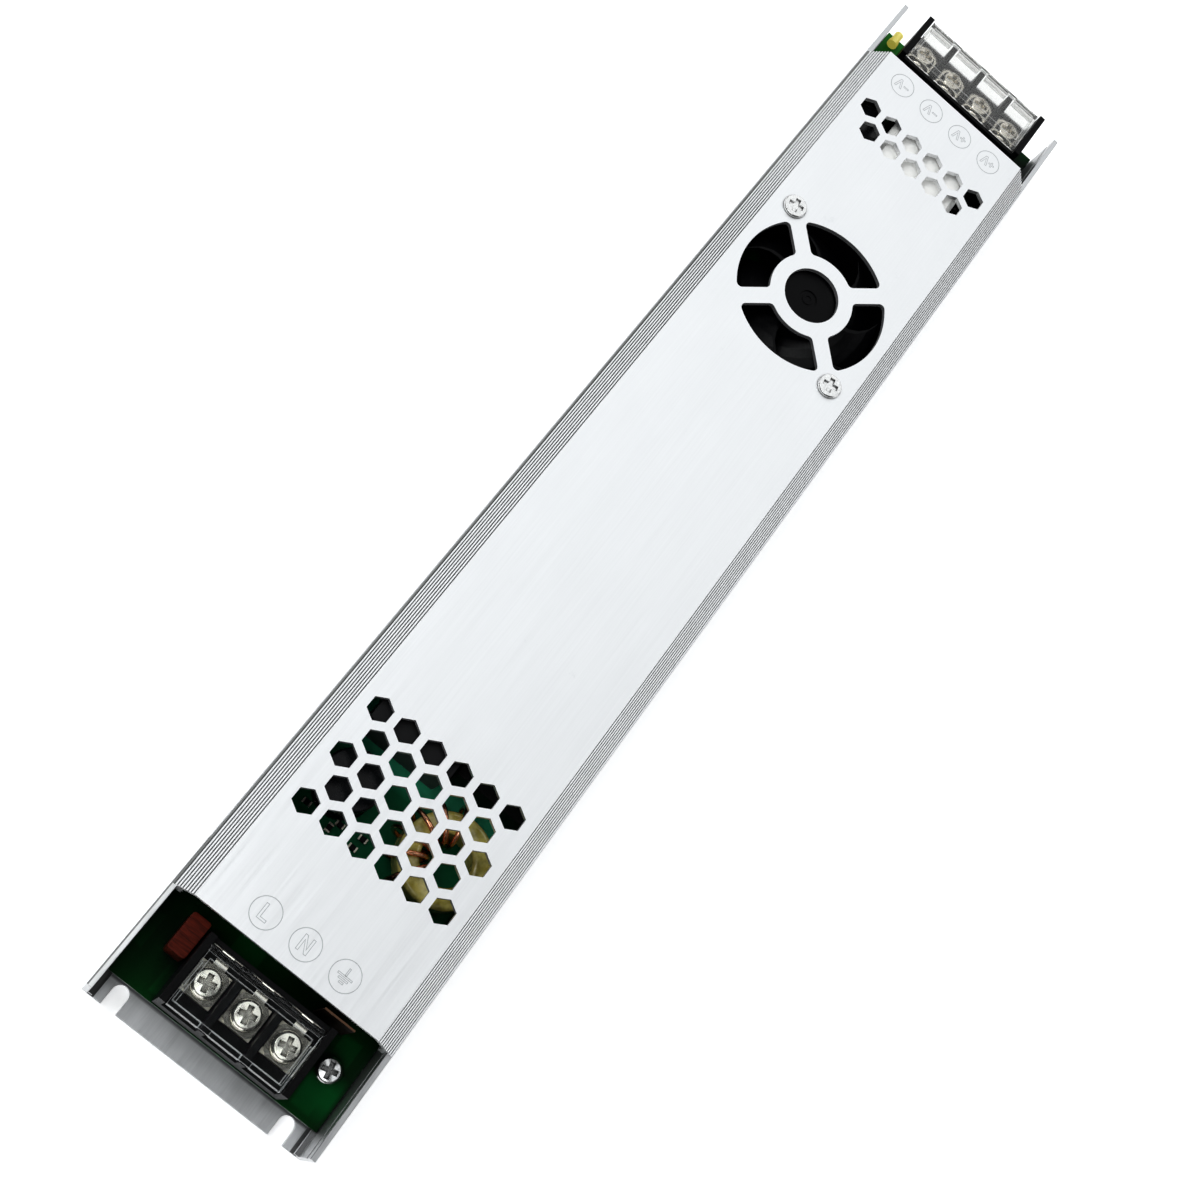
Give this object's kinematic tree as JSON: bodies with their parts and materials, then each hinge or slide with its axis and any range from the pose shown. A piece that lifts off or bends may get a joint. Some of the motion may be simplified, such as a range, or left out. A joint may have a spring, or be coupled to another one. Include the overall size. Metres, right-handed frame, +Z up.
{
  "type": "led power supply",
  "caption": "Slim aluminium LED power supply: ribbed cover with vents and a fan grille on a long channel, with lidded screw terminals at both ends.",
  "frame": {"origin": "centre of the underside", "axes": "+X across the case, +Y along it from the input end to the output end, +Z up through the cover"},
  "size_m": [0.053, 0.308, 0.0229],
  "materials": {
    "base_aluminium": "satin",
    "cover_aluminium": "satin",
    "bare_aluminium": "satin",
    "sheet_film": "matte",
    "board_laminate": "satin",
    "plated_steel": "satin",
    "nickel_steel": "satin",
    "tinned_brass": "satin",
    "black_moulding": "matte",
    "clear_plastic": "gloss",
    "fan_plastic": "satin",
    "bronze": "satin",
    "copper": "gloss",
    "fuse_moulding": "satin",
    "disc_lacquer": "gloss",
    "grey_moulding": "satin",
    "brown_fibre": "matte",
    "yellow_coating": "gloss",
    "green_coating": "gloss",
    "yellow_tape": "gloss",
    "black_epoxy": "matte",
    "can_sleeve": "gloss",
    "ferrite": "matte",
    "lamp_plastic": "gloss"
  },
  "bodies": {
    "case": {"base_channel": "base_aluminium", "top_cover": "cover_aluminium", "insulating_sheet": "sheet_film", "circuit_board": "board_laminate", "board_standoffs": "plated_steel", "board_screws": "plated_steel", "input_block": "black_moulding", "input_contacts": "tinned_brass", "output_block": "black_moulding", "output_contacts": "tinned_brass", "fan_frame": "fan_plastic", "fan_bearing": "bronze", "fan_stator": "copper", "fan_screws": "plated_steel", "fan_nuts": "plated_steel", "fuse": "fuse_moulding", "surge_disc": "disc_lacquer", "box_capacitors": "grey_moulding", "insulating_strip": "brown_fibre", "choke_core": "yellow_coating", "choke_winding": "copper", "drum_choke": "can_sleeve", "bridge_rectifier": "black_epoxy", "bulk_capacitors": "can_sleeve", "switch_transistors": "black_epoxy", "transformer_core": "ferrite", "transformer_winding": "yellow_tape", "output_rectifiers": "black_epoxy", "output_choke_core": "green_coating", "output_choke_winding": "copper", "control_chips": "black_epoxy", "output_capacitors": "can_sleeve", "heat_spreader": "bare_aluminium", "lamp": "lamp_plastic"},
    "fan_rotor": {"fan_rotor": "fan_plastic"},
    "input_lid": {"input_lid": "clear_plastic"},
    "output_lid": {"output_lid": "clear_plastic"},
    "input_clamp_1": {"input_clamp_1": "nickel_steel"},
    "input_screw_1": {"input_screw_1": "nickel_steel"},
    "input_clamp_2": {"input_clamp_2": "nickel_steel"},
    "input_screw_2": {"input_screw_2": "nickel_steel"},
    "input_clamp_3": {"input_clamp_3": "nickel_steel"},
    "input_screw_3": {"input_screw_3": "nickel_steel"},
    "output_clamp_1": {"output_clamp_1": "nickel_steel"},
    "output_screw_1": {"output_screw_1": "nickel_steel"},
    "output_clamp_2": {"output_clamp_2": "nickel_steel"},
    "output_screw_2": {"output_screw_2": "nickel_steel"},
    "output_clamp_3": {"output_clamp_3": "nickel_steel"},
    "output_screw_3": {"output_screw_3": "nickel_steel"},
    "output_clamp_4": {"output_clamp_4": "nickel_steel"},
    "output_screw_4": {"output_screw_4": "nickel_steel"}
  },
  "joints": [
    {"name": "fan_spin", "type": "hinge", "parent": "case", "child": "fan_rotor", "pos_m": [0, 0.062, 0.0155], "axis": [0, 0, 1], "continuous": true},
    {"name": "input_lid_hinge", "type": "hinge", "parent": "case", "child": "input_lid", "pos_m": [0, -0.1357, 0.0186], "axis": [-1, 0, 0], "range_deg": [0, 110]},
    {"name": "output_lid_hinge", "type": "hinge", "parent": "case", "child": "output_lid", "pos_m": [0, 0.1405, 0.0186], "axis": [1, 0, 0], "range_deg": [0, 110]},
    {"name": "input_clamp_1_lift", "type": "slide", "parent": "case", "child": "input_clamp_1", "axis": [0, 0, 1], "range_m": [0, 0.0015]},
    {"name": "input_screw_1_turn", "type": "hinge", "parent": "input_clamp_1", "child": "input_screw_1", "pos_m": [-0.0095, -0.141, 0.0156], "axis": [0, 0, 1], "range_deg": [0, 1080]},
    {"name": "input_clamp_2_lift", "type": "slide", "parent": "case", "child": "input_clamp_2", "axis": [0, 0, 1], "range_m": [0, 0.0015]},
    {"name": "input_screw_2_turn", "type": "hinge", "parent": "input_clamp_2", "child": "input_screw_2", "pos_m": [0, -0.141, 0.0156], "axis": [0, 0, 1], "range_deg": [0, 1080]},
    {"name": "input_clamp_3_lift", "type": "slide", "parent": "case", "child": "input_clamp_3", "axis": [0, 0, 1], "range_m": [0, 0.0015]},
    {"name": "input_screw_3_turn", "type": "hinge", "parent": "input_clamp_3", "child": "input_screw_3", "pos_m": [0.0095, -0.141, 0.0156], "axis": [0, 0, 1], "range_deg": [0, 1080]},
    {"name": "output_clamp_1_lift", "type": "slide", "parent": "case", "child": "output_clamp_1", "axis": [0, 0, 1], "range_m": [0, 0.0015]},
    {"name": "output_screw_1_turn", "type": "hinge", "parent": "output_clamp_1", "child": "output_screw_1", "pos_m": [-0.01425, 0.1458, 0.0156], "axis": [0, 0, 1], "range_deg": [0, 1080]},
    {"name": "output_clamp_2_lift", "type": "slide", "parent": "case", "child": "output_clamp_2", "axis": [0, 0, 1], "range_m": [0, 0.0015]},
    {"name": "output_screw_2_turn", "type": "hinge", "parent": "output_clamp_2", "child": "output_screw_2", "pos_m": [-0.00475, 0.1458, 0.0156], "axis": [0, 0, 1], "range_deg": [0, 1080]},
    {"name": "output_clamp_3_lift", "type": "slide", "parent": "case", "child": "output_clamp_3", "axis": [0, 0, 1], "range_m": [0, 0.0015]},
    {"name": "output_screw_3_turn", "type": "hinge", "parent": "output_clamp_3", "child": "output_screw_3", "pos_m": [0.00475, 0.1458, 0.0156], "axis": [0, 0, 1], "range_deg": [0, 1080]},
    {"name": "output_clamp_4_lift", "type": "slide", "parent": "case", "child": "output_clamp_4", "axis": [0, 0, 1], "range_m": [0, 0.0015]},
    {"name": "output_screw_4_turn", "type": "hinge", "parent": "output_clamp_4", "child": "output_screw_4", "pos_m": [0.01425, 0.1458, 0.0156], "axis": [0, 0, 1], "range_deg": [0, 1080]}
  ],
  "couplings": [
    {"joint": "input_screw_1_turn", "follows": "input_clamp_1_lift", "rad_per_m": 12566},
    {"joint": "input_screw_2_turn", "follows": "input_clamp_2_lift", "rad_per_m": 12566},
    {"joint": "input_screw_3_turn", "follows": "input_clamp_3_lift", "rad_per_m": 12566},
    {"joint": "output_screw_1_turn", "follows": "output_clamp_1_lift", "rad_per_m": 12566},
    {"joint": "output_screw_2_turn", "follows": "output_clamp_2_lift", "rad_per_m": 12566},
    {"joint": "output_screw_3_turn", "follows": "output_clamp_3_lift", "rad_per_m": 12566},
    {"joint": "output_screw_4_turn", "follows": "output_clamp_4_lift", "rad_per_m": 12566}
  ]
}
